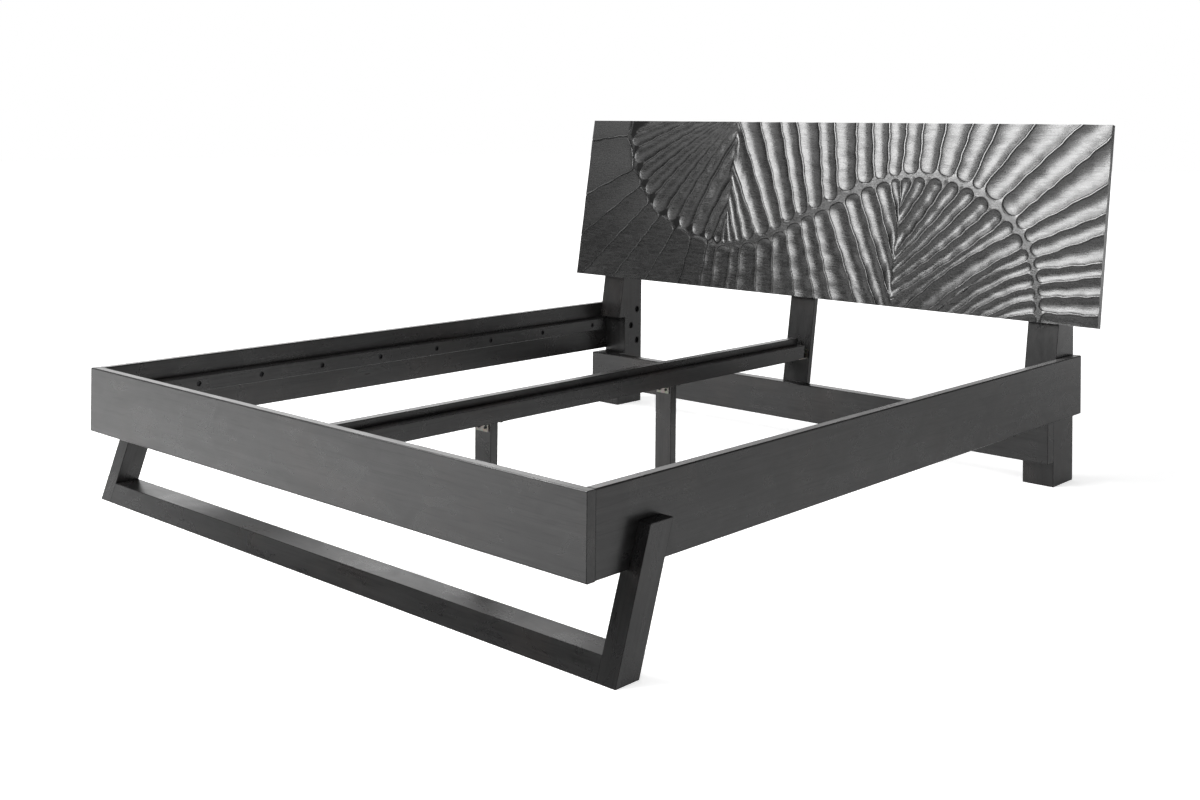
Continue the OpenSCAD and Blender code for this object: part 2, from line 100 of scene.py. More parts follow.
def finishMaterial(tree, shaderSocket):
    output = tree.nodes.new("ShaderNodeOutputMaterial")
    tree.links.new(shaderSocket, output.inputs["Surface"])


def ramp(tree, socket, stops):
    made = newNode(tree, "ShaderNodeValToRGB", inputs={"Fac": socket})
    elements = made.color_ramp.elements
    while len(elements) < len(stops):
        elements.new(0.5)
    for element, (place, colour) in zip(elements, stops):
        element.position = place
        element.color = (*colour, 1)
    return made.outputs["Color"]


def remap(tree, socket, fromLow, fromHigh, toLow, toHigh):
    made = newNode(tree, "ShaderNodeMapRange", inputs={
        "Value": socket, "From Min": fromLow, "From Max": fromHigh, "To Min": toLow, "To Max": toHigh})
    return made.outputs["Result"]


def mixColour(tree, fac, first, second, mode="MIX"):
    made = newNode(tree, "ShaderNodeMix", {"data_type": "RGBA", "blend_type": mode})
    for place, value in ((0, fac), (6, first), (7, second)):
        if isinstance(value, bpy.types.NodeSocket):
            tree.links.new(value, made.inputs[place])
        elif place == 0:
            made.inputs[place].default_value = value
        else:
            made.inputs[place].default_value = (*value, 1)
    return made.outputs[2]


def mixValue(tree, share, first, second):
    made = newNode(tree, "ShaderNodeMix", {"data_type": "FLOAT"})
    for place, value in ((0, share), (2, first), (3, second)):
        if isinstance(value, bpy.types.NodeSocket):
            tree.links.new(value, made.inputs[place])
        else:
            made.inputs[place].default_value = value
    return made.outputs[0]


def noiseAt(tree, vector, scale, detail=4, roughness=0.55, distortion=0):
    made = newNode(tree, "ShaderNodeTexNoise", inputs={
        "Vector": vector, "Scale": scale, "Detail": detail, "Roughness": roughness, "Distortion": distortion})
    return made.outputs["Fac"]


# The middle stretch of a noise, where most of its values lie, spread from low to high
def spread(tree, socket, low, high):
    return remap(tree, socket, 0.3, 0.7, low, high)


def maths(tree, operation, first, second=0):
    return newNode(tree, "ShaderNodeMath", {"operation": operation}, {0: first, 1: second}).outputs[0]


def dotWith(tree, first, second):
    made = newNode(tree, "ShaderNodeVectorMath", {"operation": "DOT_PRODUCT"}, {0: first, 1: second})
    return made.outputs["Value"]


def axisOf(tree, vector, axis):
    return newNode(tree, "ShaderNodeSeparateXYZ", inputs={"Vector": vector}).outputs[axis]


def scaled(tree, vector, scale):
    return newNode(tree, "ShaderNodeMapping", inputs={"Vector": vector, "Scale": scale}).outputs["Vector"]


def greyTone(tree, value):
    made = newNode(tree, "ShaderNodeCombineColor", inputs={"Red": value, "Green": value, "Blue": value})
    return made.outputs["Color"]


# Relief of a strength and a distance in metres, laid over the normal given
def bumped(tree, height, relief, normal=None):
    inputs = {"Height": height, "Strength": relief[0], "Distance": relief[1]}
    if normal:
        inputs["Normal"] = normal
    return newNode(tree, "ShaderNodeBump", inputs=inputs).outputs["Normal"]


# Matt black lines of painted shade, mixed over a shader by the share given

shadeLineBlack = {"tone": 0.002, "roughness": 0.6, "specular": 0.15}


def withShadeLines(tree, shader, share):
    tone = shadeLineBlack["tone"]
    matt = newNode(tree, "ShaderNodeBsdfPrincipled", inputs={
        "Base Color": (tone, tone, tone, 1), "Roughness": shadeLineBlack["roughness"],
        "Specular IOR Level": shadeLineBlack["specular"]})
    both = newNode(tree, "ShaderNodeMixShader", inputs={
        0: share, 1: shader.outputs["BSDF"], 2: matt.outputs["BSDF"]})
    return both.outputs["Shader"]


# Black-stained wood: satin, nearly even, with faint streaks along the board, cloudy smears and a few
# brownish patches. Its arrises are rounded with painted shade lines, and the tops get a paler painted sheen.

stain = {
    "deep": (0.0075, 0.0074, 0.0075),
    "middle": (0.0125, 0.0123, 0.0124),
    "light": (0.0200, 0.0196, 0.0197),
    "grainStops": (0.30, 0.50, 0.74),
    "brown": (0.026, 0.019, 0.016),
    "brownShare": (0.48, 0.72, 0, 0.45),  # four values: from and to of the noise, then of the result
    "grainLength": 2.2,  # noise scales per metre along and across the board
    "grainFine": 62,
    "poreFine": 260,
    "cloudScale": 3.2,
    "smearTone": (0.3, 0.75, 0.75, 1.3),
    "poreTone": (0.34, 0.44, 0.5, 1),
    "poreRelief": (0.12, 0.0004),  # strength, and depth in metres
    "grainRelief": (0.10, 0.0007),
    "satin": (0.22, 0.34),  # roughness
    "arris": 0.003,  # radius that the gloss sees at each edge, in metres
    # Painted shade line along each arris: from and to of how far the rounded normal turns, then of the share
    "arrisShadeLine": (0.965, 0.997, 0.85, 0),
    "topHigh": (0.372, 0.377),  # heights in metres between which the painted sheen of the tops sets in
    "topEnd": (0.38, 0.40),  # and ends, below the tops of the posts
    "topUpward": (0.8, 0.95),
    # Paler greys painted on the tops as sheen, for most of the frame and for the lengthwise boards
    "topSheen": (0.065, 0.063, 0.063),
    "railTopSheen": (0.140, 0.137, 0.137),
}


def blackStain(name, turn=(0, 0, 0), shift=0.0, topSheen=stain["topSheen"]):
    material, tree = newMaterial(name)
    place = newNode(tree, "ShaderNodeTexCoord").outputs["Object"]
    along = newNode(tree, "ShaderNodeMapping", inputs={
        "Vector": place, "Rotation": turn, "Location": (shift, shift * 0.7, shift * 0.3)}).outputs["Vector"]
    length, width, pore = stain["grainLength"], stain["grainFine"], stain["poreFine"]
    grain = noiseAt(tree, scaled(tree, along, (length, width, width)), 1, 6, 0.62, 0.6)
    pores = noiseAt(tree, scaled(tree, along, (length * 5, pore, pore)), 1, 3, 0.5)
    clouds = noiseAt(tree, along, stain["cloudScale"], 5, 0.6, 0.3)
    smears = noiseAt(tree, scaled(tree, along, (0.6, 1, 1)), stain["cloudScale"] * 4, 4, 0.6, 1.1)
    tones = [stain[tone] for tone in ("deep", "middle", "light")]
    grey = ramp(tree, grain, list(zip(stain["grainStops"], tones)))
    tinted = mixColour(tree, remap(tree, clouds, *stain["brownShare"]), grey, stain["brown"])
    pitted = remap(tree, pores, *stain["poreTone"])
    shade = maths(tree, "MULTIPLY", remap(tree, smears, *stain["smearTone"]), pitted)
    colour = mixColour(tree, 1.0, tinted, greyTone(tree, shade), "MULTIPLY")
    normal = newNode(tree, "ShaderNodeNewGeometry").outputs["True Normal"]
    # Painted sheen: faces turned upward at the height of the board tops are mixed towards the paler grey
    upward = remap(tree, axisOf(tree, normal, "Z"), *stain["topUpward"], 0, 1)
    high = axisOf(tree, place, "Z")
    aboveBoard = maths(tree, "MULTIPLY", upward, remap(tree, high, *stain["topHigh"], 0, 1))
    onTop = maths(tree, "MULTIPLY", aboveBoard, remap(tree, high, *stain["topEnd"], 1, 0))
    colour = mixColour(tree, onTop, colour, topSheen)
    gloss = remap(tree, smears, 0.3, 0.8, stain["satin"][1], stain["satin"][0])
    arris = newNode(tree, "ShaderNodeBevel", {"samples": 6}, {"Radius": stain["arris"]}).outputs["Normal"]
    relief = bumped(tree, pitted, stain["poreRelief"], arris)
    relief = bumped(tree, grain, stain["grainRelief"], relief)
    shader = newNode(tree, "ShaderNodeBsdfPrincipled", inputs={
        "Base Color": colour, "Roughness": gloss, "Normal": relief})
    # Painted shade: where the rounded arris normal turns away, matt black is mixed in as a dark edge line
    arrisShade = remap(tree, dotWith(tree, arris, normal), *stain["arrisShadeLine"])
    finishMaterial(tree, withShadeLines(tree, shader, arrisShade))
    return material


# The carved board, on glued planks that differ a little. Its rim attribute runs from 0 in the middle
# of a flute to 1 on the ridge beside it, and to 1.12 on the uncut web along the wave. The floors of
# the flutes are polished, their walls get painted shade with a thin painted shade line at the foot of the
# ridges, the crests are pale as worn wood and as a painted highlight, and painted shade darkens the left.

panel = {
    "node": "headboard",
    "lean": math.radians(9.1),
    "width": 2075,  # millimetres, as the next
    "height": 600,
    "thickness": 25,
    "backBevel": 2,
}
carvedLook = {
    "attribute": "rim",
    # Greys, roughness and painted shade lines by the rim attribute as a share of rimReach
    # The greys darken the flute walls towards the ridges as painted shade; the pale crest band is partly worn
    # wood, partly a painted highlight
    "tones": [(0.0, 0.022), (0.30, 0.015), (0.52, 0.003), (0.63, 0.002), (0.65, 0.100), (0.69, 0.100),
              (0.73, 0.010), (1.0, 0.016)],
    "gloss": [(0.0, 0.25), (0.45, 0.27), (0.63, 0.25), (0.65, 0.20), (0.69, 0.20), (0.73, 0.29),
              (1.0, 0.30)],
    "tint": (1.0, 0.985, 0.98),
    "ridgeShadeLines": [(0.555, 0), (0.566, 1), (0.630, 1), (0.645, 0)],
    "rimReach": 1.5,
    "sideTone": 0.007,
    "frontTurn": (0.1, 0.3),
    "plankHigh": 0.1015,  # metres
    "plankTone": (0.88, 1.12),
    "grainTone": (0.72, 1.30),
    "cloudTone": (0.85, 1.15),
    "chipTone": (0.55, 1.45),
    # Painted shade: the tone is darkened along the board, most towards its left end
    "shadeAlong": (-0.6, 0.35, 0.3, 0.7),  # from and to along the board in metres, then of the tone
    "grainScale": (20, 170, 170),
    "fineScale": (60, 420, 420),
    "cloudScale": 9,
    "chipScale": 160,
    "chipEdge": (-0.02, 0.02),
    "lineEdge": (-0.005, 0.005),
    "grainGloss": (-0.06, 0.07),
    "chipGloss": (-0.03, 0.03),
    "plankGloss": (-0.010, 0.010),
    "specular": 0.9,
    "fineRelief": (0.2, 0.0004),
    "webRelief": (0.3, 0.0010),
    "webFrom": (0.68, 0.73),
    "grainRelief": (0.22, 0.0010),
}


def carvedStainFor(node):
    look = carvedLook
    normal = Vector((0, -math.cos(panel["lean"]), math.sin(panel["lean"])))
    lean = Vector((0, math.sin(panel["lean"]), math.cos(panel["lean"])))
    low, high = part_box(node)
    foot = ((low + high) / 2).dot(lean) - panel["height"] * mm / 2
    material, tree = newMaterial("stainedWoodCarved")
    place = newNode(tree, "ShaderNodeTexCoord").outputs["Object"]
    rim = newNode(tree, "ShaderNodeAttribute", {"attribute_name": look["attribute"]}).outputs["Fac"]
    along = maths(tree, "DIVIDE", rim, look["rimReach"])
    grain = noiseAt(tree, scaled(tree, place, look["grainScale"]), 1, 6, 0.7, 0.5)
    fine = noiseAt(tree, scaled(tree, place, look["fineScale"]), 1, 3, 0.6)
    clouds = noiseAt(tree, place, look["cloudScale"], 4, 0.6, 0.4)
    chips = noiseAt(tree, scaled(tree, place, (1, 2, 2)), look["chipScale"], 4, 0.6)
    ragged = maths(tree, "ADD", along, spread(tree, chips, *look["chipEdge"]))
    tint = Vector(look["tint"])
    cut = ramp(tree, ragged, [(at, tuple(tint * tone)) for at, tone in look["tones"]])
    face = dotWith(tree, newNode(tree, "ShaderNodeNewGeometry").outputs["True Normal"], normal)
    front = remap(tree, face, *look["frontTurn"], 0, 1)
    colour = mixColour(tree, front, tuple(tint * look["sideTone"]), cut)
    height = dotWith(tree, place, lean / look["plankHigh"])
    plank = maths(tree, "FLOOR", maths(tree, "SUBTRACT", height, foot / look["plankHigh"]))
    plankNoise = newNode(tree, "ShaderNodeTexWhiteNoise", {"noise_dimensions": "1D"}, {
        "W": plank}).outputs["Value"]
    layers = (
        remap(tree, plankNoise, 0, 1, *look["plankTone"]),
        spread(tree, grain, *look["grainTone"]),
        spread(tree, clouds, *look["cloudTone"]),
        spread(tree, chips, *look["chipTone"]),
        # The last layer is painted shade, darker towards the left end of the board
        remap(tree, axisOf(tree, place, "X"), *look["shadeAlong"]),
    )
    for layer in layers:
        colour = mixColour(tree, 1.0, colour, greyTone(tree, layer), "MULTIPLY")
    gloss = ramp(tree, along, [(at, (rough, rough, rough)) for at, rough in look["gloss"]])
    for change in (spread(tree, grain, *look["grainGloss"]), spread(tree, chips, *look["chipGloss"]),
                   remap(tree, plankNoise, 0, 1, *look["plankGloss"])):
        gloss = maths(tree, "ADD", gloss, change)
    relief = bumped(tree, fine, look["fineRelief"])
    pecked = maths(tree, "MULTIPLY", chips, remap(tree, along, *look["webFrom"], 0, 1))
    relief = bumped(tree, pecked, look["webRelief"], relief)
    relief = bumped(tree, grain, look["grainRelief"], relief)
    shader = newNode(tree, "ShaderNodeBsdfPrincipled", inputs={
        "Base Color": colour, "Roughness": gloss, "Specular IOR Level": look["specular"], "Normal": relief})
    # Painted shade: a thin matt black line near the foot of each ridge, on the front only
    edged = maths(tree, "ADD", along, spread(tree, chips, *look["lineEdge"]))
    ridgeShadeLines = ramp(tree, edged, [(at, (share, share, share)) for at, share in look["ridgeShadeLines"]])
    finishMaterial(tree, withShadeLines(tree, shader, maths(tree, "MULTIPLY", ridgeShadeLines, front)))
    return material


quarterTurn = math.pi / 2
footSlant = math.radians(18.7)
woodAcross = blackStain("stainedWoodAcross", shift=1.3)
woodLengthwise = blackStain("stainedWoodLengthwise", (0, 0, quarterTurn), 3.1, stain["railTopSheen"])
woodUpright = blackStain("stainedWoodUpright", (0, quarterTurn, 0), 5.7)
woodSlanted = blackStain("stainedWoodSlanted", (footSlant, quarterTurn, 0), 7.9)
carvedStain = carvedStainFor(panel["node"])

# Metals and dowel wood. Their roughness runs from the first value to the second with the wear.

zinc = {
    "grey": (0.20, 0.195, 0.185),
    "warm": (0.26, 0.245, 0.21),
    "roughness": (0.34, 0.48),
    "spangleScale": 160,
    "spangleShare": 0.12,
    "cloudScale": 40,
    "relief": (0.15, 0.0003),
}
metals = {
    "zincScrew": {"dark": (0.16, 0.155, 0.15), "light": (0.36, 0.35, 0.33), "roughness": (0.32, 0.47)},
    "darkScrew": {"dark": (0.010, 0.010, 0.011), "light": (0.045, 0.045, 0.048), "roughness": (0.38, 0.53)},
    "insertBrass": {"dark": (0.45, 0.30, 0.10), "light": (0.75, 0.55, 0.22), "roughness": (0.32, 0.47)},
}
metalWear = {"scale": 220, "stops": (0.3, 0.72), "metallic": 0.9, "relief": (0.2, 0.0002)}
beech = {
    "dark": (0.42, 0.27, 0.14),
    "light": (0.62, 0.44, 0.26),
    "grainScale": (400, 20, 400),
    "roughness": 0.7,
    "relief": (0.2, 0.0003),
}


def zincPlated(name):
    material, tree = newMaterial(name)
    place = newNode(tree, "ShaderNodeTexCoord").outputs["Object"]
    spangle = newNode(tree, "ShaderNodeTexVoronoi", inputs={"Vector": place, "Scale": zinc["spangleScale"]})
    cloud = noiseAt(tree, place, zinc["cloudScale"], 3)
    base = mixColour(tree, remap(tree, cloud, 0.35, 0.7, 0, 1), zinc["grey"], zinc["warm"])
    colour = mixColour(tree, zinc["spangleShare"], base, spangle.outputs["Color"], "OVERLAY")
    gloss = spread(tree, cloud, *zinc["roughness"])
    relief = bumped(tree, cloud, zinc["relief"])
    shader = newNode(tree, "ShaderNodeBsdfPrincipled", inputs={
        "Base Color": colour, "Metallic": 1.0, "Roughness": gloss, "Normal": relief})
    finishMaterial(tree, shader.outputs["BSDF"])
    return material


def plainMetal(name):
    metal = metals[name]
    material, tree = newMaterial(name)
    place = newNode(tree, "ShaderNodeTexCoord").outputs["Object"]
    wear = noiseAt(tree, place, metalWear["scale"], 4, 0.6)
    colour = ramp(tree, wear, list(zip(metalWear["stops"], (metal["dark"], metal["light"]))))
    gloss = spread(tree, wear, *metal["roughness"])
    relief = bumped(tree, wear, metalWear["relief"])
    shader = newNode(tree, "ShaderNodeBsdfPrincipled", inputs={
        "Base Color": colour, "Metallic": metalWear["metallic"], "Roughness": gloss, "Normal": relief})
    finishMaterial(tree, shader.outputs["BSDF"])
    return material


def paleDowel(name):
    material, tree = newMaterial(name)
    place = newNode(tree, "ShaderNodeTexCoord").outputs["Object"]
    grain = noiseAt(tree, scaled(tree, place, beech["grainScale"]), 1, 4)
    colour = ramp(tree, grain, [(0.3, beech["dark"]), (0.7, beech["light"])])
    relief = bumped(tree, grain, beech["relief"])
    shader = newNode(tree, "ShaderNodeBsdfPrincipled", inputs={
        "Base Color": colour, "Roughness": beech["roughness"], "Normal": relief})
    finishMaterial(tree, shader.outputs["BSDF"])
    return material


zincPlate = zincPlated("zincPlate")
zincScrew = plainMetal("zincScrew")
darkScrew = plainMetal("darkScrew")
insertBrass = plainMetal("insertBrass")
dowelWood = paleDowel("dowelWood")
print("materials done")

# Finishes of the CAD nodes

finishes = {
    "footboard": woodAcross,
    "cross_rail": woodAcross,
    "foot_bar": woodAcross,
    "rail_": woodLengthwise,
    "ledge_": woodLengthwise,
    "beam_plank": woodLengthwise,
    "beam_ledge_": woodLengthwise,
    "post_left": woodUpright,
    "post_right": woodUpright,
    "middle_post": woodUpright,
    "centre_leg_": woodUpright,
    "foot_leg_": woodSlanted,
    "beam_screws": darkScrew,
    "ledge_screws_": darkScrew,
    "headboard_screws_": darkScrew,
    "corner_screws_": darkScrew,
    "leg_bracket_screws_": darkScrew,
    "leg_brackets_": zincPlate,
    "beam_bracket_": zincPlate,
    "beam_bracket_screws_": zincScrew,
    "corner_bracket_": zincPlate,
    "post_bolts_": darkScrew,
    "foot_bolts_": zincScrew,
    "rail_inserts_": insertBrass,
    "cross_dowels_": dowelWood,
    "foot_dowels_": dowelWood,
}


def dressNodes():
    for name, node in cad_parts.items():
        fitting = [key for key in finishes if name == key or (key.endswith("_") and name.startswith(key))]
        if fitting:
            node.data.materials.clear()
            node.data.materials.append(finishes[max(fitting, key=len)])


dressNodes()
print("nodes dressed")

# Carved headboard, in millimetres from the middle of its lower edge, with the front face at zero.
# Flutes fan out between ridges. Each ridge starts on the wave, given as a length along it, and ends
# either at a height on one of the two upright axes or at a point on the edge of the board.

carving = {
    "wave": [(-846, 690), (-838, 600), (-822, 490), (-780, 400), (-728, 325), (-662, 264), (-584, 222),
             (-502, 190), (-420, 168), (-340, 160), (-260, 172), (-190, 190), (-130, 214), (-68, 250),
             (-10, 280), (50, 305), (115, 338), (175, 370), (245, 397), (330, 419), (430, 428),
             (520, 420), (600, 398), (655, 368), (705, 330), (748, 296), (785, 255), (812, 205),
             (830, 150), (842, 100), (850, 50), (856, 0), (864, -90)],
    "leftAxis": [(-344, 200), (-338, 400), (-334, 700)],
    "rightAxis": [(351, -200), (352, 100), (355, 420)],
    "waveSteps": 8,
    "margin": 160,  # how far the flat wood reaches past the board before it is cut
    "overrun": 20,  # how far the ridges run past their far ends
    "rowStep": 8,
    "across": 20,
    "axisAcross": (10, 16),  # for flutes up to axisWide high on an axis, and for higher ones
    "axisWide": 40,
    "capRows": 7,
    "bandHalf": 2.6,  # half the web along the wave
    "ridgeHalf": 1.9,
    "ridgeShare": 0.22,  # most of a flute's width that the ridge beside it takes
    "depthShare": 0.125,
    "axisDepthShare": 0.07,
    "deepest": 6.0,
    "depthSway": (0.12, 40),
    "wall": {"share": 0.03, "deepest": 0.6, "wide": 3.6, "widest": 0.4},
    "rimSpacing": 1.4,
    "ripple": {"high": 0.5, "long": 55, "apart": 40},
    "sunkReach": 25,
    "axisReach": 30,
    "swell": 0.12,  # what the rim attribute gains round the end of a flute
    "merge": 0.02,
    "softRim": 1.05,  # the rim attribute up to which an edge between flute and web is smooth
    "sharpAngle": 35,
}
ridgeSway = {
    "step": 10,
    "high": 1.7,
    "long": (60, 110),
    "short": (26, 42),
    "shortShare": 0.35,
    "setsIn": 30,
    "diesOut": 70,
}

# Each fan has its ridges and the axis beside them and, where these aren't 1, shares for the depth of
# its flutes, the drop at their edges, the length of their rounded ends and the reach of the rim
# attribute. A bow bends the ridges, sunk lowers one of them, and a groove leaves the face nearly flat
# between thin cuts.

fans = {
    "leftArms": {"axis": "leftAxis", "bow": 0.03, "edge": 0.1, "cap": 1.3, "swell": -0.19, "ridges": [
        (812, 262), (772, 300), (722, 388), (655, 535), (583, 592), (513, 612), (427, 622), (354, 632),
        (284, 645), (207, 656), (146, 668)]},
    "leftMiddle": {"axis": "leftAxis", "overrun": 0, "ridges": [(812, (-343.5, 258)), (842, (-340.5, 258))]},
    "leftInner": {"axis": "leftAxis", "ridges": [
        (842, 262), (878, 300), (912, 388), (970, 440), (1033, 612)]},
    "upper": {"axis": "leftAxis", "overrun": 70, "ridges": [
        (1033, 612), (1086, (-237, 600)), (1144, (-148, 600)), (1199, (-80, 600)), (1258, (12, 600)),
        (1321, (75, 600)), (1397, (162, 600)), (1466, (225, 600)), (1519, (290, 600)), (1570, (355, 600)),
        (1633, (415, 600)), (1694, (497, 600)), (1758, (590, 600)), (1819, (680, 600)), (1857, (800, 600)),
        (1927, (945, 600)), (1999, (1037, 560)), (2045, (1037, 420)), (2090, (1037, 335)),
        (2137, (1037, 275)), (2169, (1037, 190)), (2214, (1037, 150)), (2251, (1037, 92)),
        (2296, (1037, 35)), (2345, (1037, -30))]},
    "outer": {"axis": "leftAxis", "depth": 0.2, "groove": 2.2, "ridgeHalf": 0.9, "cap": 0.35,
              "rimReach": 0.86, "swell": -0.06, "ridges": [
        (60, (-1037, 690)), (146, (-1037, 522)), (277, (-1037, 305)), (350, (-1037, 150)), (430, (-1010, 0)),
        (505, (-850, 0)), (595, (-690, 0)), (675, (-528, 0)), (750, (-432, 0))]},
    "lower": {"axis": "rightAxis", "ridges": [
        (750, (-432, 0)), (790, (-378, 0)), (858, (-310, 0)), (898, (-268, 0)), (968, (-186, 0)),
        (1034, (-112, 0)), (1091, (-20, 0)), (1155, (60, 0)), (1210, (125, 0)), (1270, (222, 0)),
        (1338, -115)]},
    "rightInner": {"axis": "rightAxis", "depth": 1.3, "sunk": {1568: 1.5}, "ridges": [
        (1338, -115), (1402, 18), (1467, 138), (1526, 265), (1568, 335)]},
    "rightArms": {"axis": "rightAxis", "bow": 0.02, "depth": 1.7, "sunk": {1568: 1.5}, "ridges": [
        (1568, 335), (1621, 318), (1680, 258), (1742, 173), (1802, 145), (1860, 107), (1925, 68),
        (1985, 28)]},
    "rightLower": {"axis": "rightAxis", "bow": -0.05, "depth": 1.1, "ridges": [
        (1985, 28), (2040, -53), (2092, -150), (2139, (522, 0)), (2172, (577, 0)), (2218, (627, 0)),
        (2256, (690, 0)), (2302, (745, 0)), (2350, (810, -20))]},
}


def smoothPath(points, steps):
    path = []
    for i in range(len(points) - 1):
        a, b, c, d = [Vector(points[min(max(i + k, 0), len(points) - 1)]) for k in (-1, 0, 1, 2)]
        for j in range(steps):
            t = j / steps
            path.append(0.5 * (2 * b + (c - a) * t + (2 * a - 5 * b + 4 * c - d) * t ** 2
                               + (3 * b - a - 3 * c + d) * t ** 3))
    path.append(Vector(points[-1]))
    return path


def pointAlong(path, length):
    for a, b in zip(path, path[1:]):
        step = (b - a).length
        if length <= step:
            return a.lerp(b, length / step)
        length -= step
    return path[-1].copy()


def pointAtHeight(path, height):
    for a, b in zip(path, path[1:]):
        if height <= b.y or b is path[-1]:
            return a.lerp(b, (height - a.y) / (b.y - a.y))


def distanceTo(path, point):
    nearest = math.inf
    for a, b in zip(path, path[1:]):
        step = b - a
        t = min(max((point - a).dot(step) / step.length_squared, 0), 1)
        nearest = min(nearest, (a + step * t - point).length)
    return nearest


def pointOn(ridge, share):
    share = min(max(share, 0), 1) * (len(ridge) - 1)
    i = min(int(share), len(ridge) - 2)
    return ridge[i].lerp(ridge[i + 1], share - i)


def smooth(t):
    return t * t * (3 - 2 * t)


# Bowed, slightly wavy line from the wave to the far end, as a chisel leaves it
def makeRidge(foot, far, bow, overrun, seed):
    chord = far - foot
    square = Vector((-chord.y, chord.x))
    middle = (foot + far) / 2 + 2 * bow * square
    dice = random.Random(seed)
    longWave = (dice.uniform(*ridgeSway["long"]), dice.uniform(0, math.tau))
    shortWave = (dice.uniform(*ridgeSway["short"]), dice.uniform(0, math.tau))
    count = max(8, int(chord.length / ridgeSway["step"]))
    line = []
    for i in range(count + 1):
        t = i / count
        run = t * chord.length
        fade = min(1, run / ridgeSway["setsIn"])
        if not overrun:
            fade *= min(1, (chord.length - run) / ridgeSway["diesOut"])
        sway = math.sin(math.tau * run / longWave[0] + longWave[1])
        sway += ridgeSway["shortShare"] * math.sin(math.tau * run / shortWave[0] + shortWave[1])
        curve = foot * (1 - t) ** 2 + middle * (2 * t * (1 - t)) + far * t * t
        line.append(curve + square.normalized() * (ridgeSway["high"] * fade * sway))
    if overrun:
        line.append(line[-1] + (line[-1] - line[-2]).normalized() * overrun)
    return line


# Shares along both ridges of the row that crosses the flute squarely at the given share, found in a
# few steps that each follow the ridge's own direction
def squareRow(ridgeA, ridgeB, share, window=0.05, probe=0.02, steps=4):
    centre = (pointOn(ridgeA, share) + pointOn(ridgeB, share)) / 2
    ahead = pointOn(ridgeA, share + window) + pointOn(ridgeB, share + window)
    behind = pointOn(ridgeA, share - window) + pointOn(ridgeB, share - window)
    along = (ahead - behind).normalized()
    found = []
    for ridge in (ridgeA, ridgeB):
        place = share
        for step in range(steps):
            low, high = max(place - probe, 0), min(place + probe, 1)
            speed = (pointOn(ridge, high) - pointOn(ridge, low)).dot(along) / (high - low)
            place = min(max(place - (pointOn(ridge, place) - centre).dot(along) / speed, 0), 1)
        found.append(place)
    return found[0], found[1], along


# Depth across a flute: a shallow, slightly wavy arc with a steeper wall up to the rounded ridge
def floorAt(point, side, half, depth, fan, seed):
    wall, ripple = carving["wall"], carving["ripple"]
    wide = min(wall["wide"] / half, wall["widest"])
    rise = max(0, (side - 1 + wide) / wide)
    if "groove" in fan:
        return -depth * (1 - side * side) - fan["groove"] * rise * rise
    edge = depth / carving["depthShare"] * wall["share"]
    edge = fan.get("edge", 1) * min(edge, wall["deepest"]) * (1 - smooth(rise))
    at = Vector((point.x / ripple["long"], point.y / ripple["long"], seed / ripple["apart"]))
    raised = ripple["high"] * noise.noise(at)
    return (min(raised, depth) - depth) * (1 - side * side) - edge


# Share of the width at step j, with the steps closer together towards both rims
def evenShare(j, across):
    bend = carving["rimSpacing"]
    return 0.5 + 0.5 * math.sin(bend * (2 * j / across - 1)) / math.sin(bend)


# First row of the flute, as near to the wave as its rounded end allows, found by halving the stretch
def capStart(ridgeA, ridgeB, wave, cap, gap, farthest=0.85, halvings=9, rimParts=12):
    low, high = 0, farthest
    for step in range(halvings):
        share = (low + high) / 2
        startA, startB, along = squareRow(ridgeA, ridgeB, share)
        a, b = pointOn(ridgeA, startA), pointOn(ridgeB, startB)
        half = (b - a).length / 2 - gap
        side = (b - a).normalized()
        rim = [(a + b) / 2 + side * (half * math.cos(q)) - along * (half * cap * math.sin(q))
               for q in (math.pi * k / rimParts for k in range(1, rimParts))]
        if min(distanceTo(wave, p) for p in rim) < carving["bandHalf"]:
            low = share
        else:
            high = share
    return squareRow(ridgeA, ridgeB, high)


def fluteDepth(half, fan):
    return min(carving["deepest"], carving["depthShare"] * half) * fan.get("depth", 1)


# Rows that round off the end of the flute on the wave, outermost first
def roundedEnd(first, along, fan, seed):
    cap = fan.get("cap", 1)
    centre, half = (first[0] + first[-1]) / 2, (first[-1] - first[0]).length / 2
    centre.z = 0
    side = (first[-1] - first[0]).normalized()
    depth = fluteDepth(half, fan)
    rows = []
    for k in range(carving["capRows"], 0, -1):
        q = k / carving["capRows"] * math.pi / 2
        row = []
        for point in first:
            share = (point - centre).dot(side) / half
            place = centre + side * (share * half * math.cos(q)) - along.to_3d() * (half * cap * math.sin(q))
            place.z = floorAt(place, math.hypot(share * math.cos(q), math.sin(q)), half, depth, fan, seed)
            row.append(place)
        rows.append(row)
    return rows


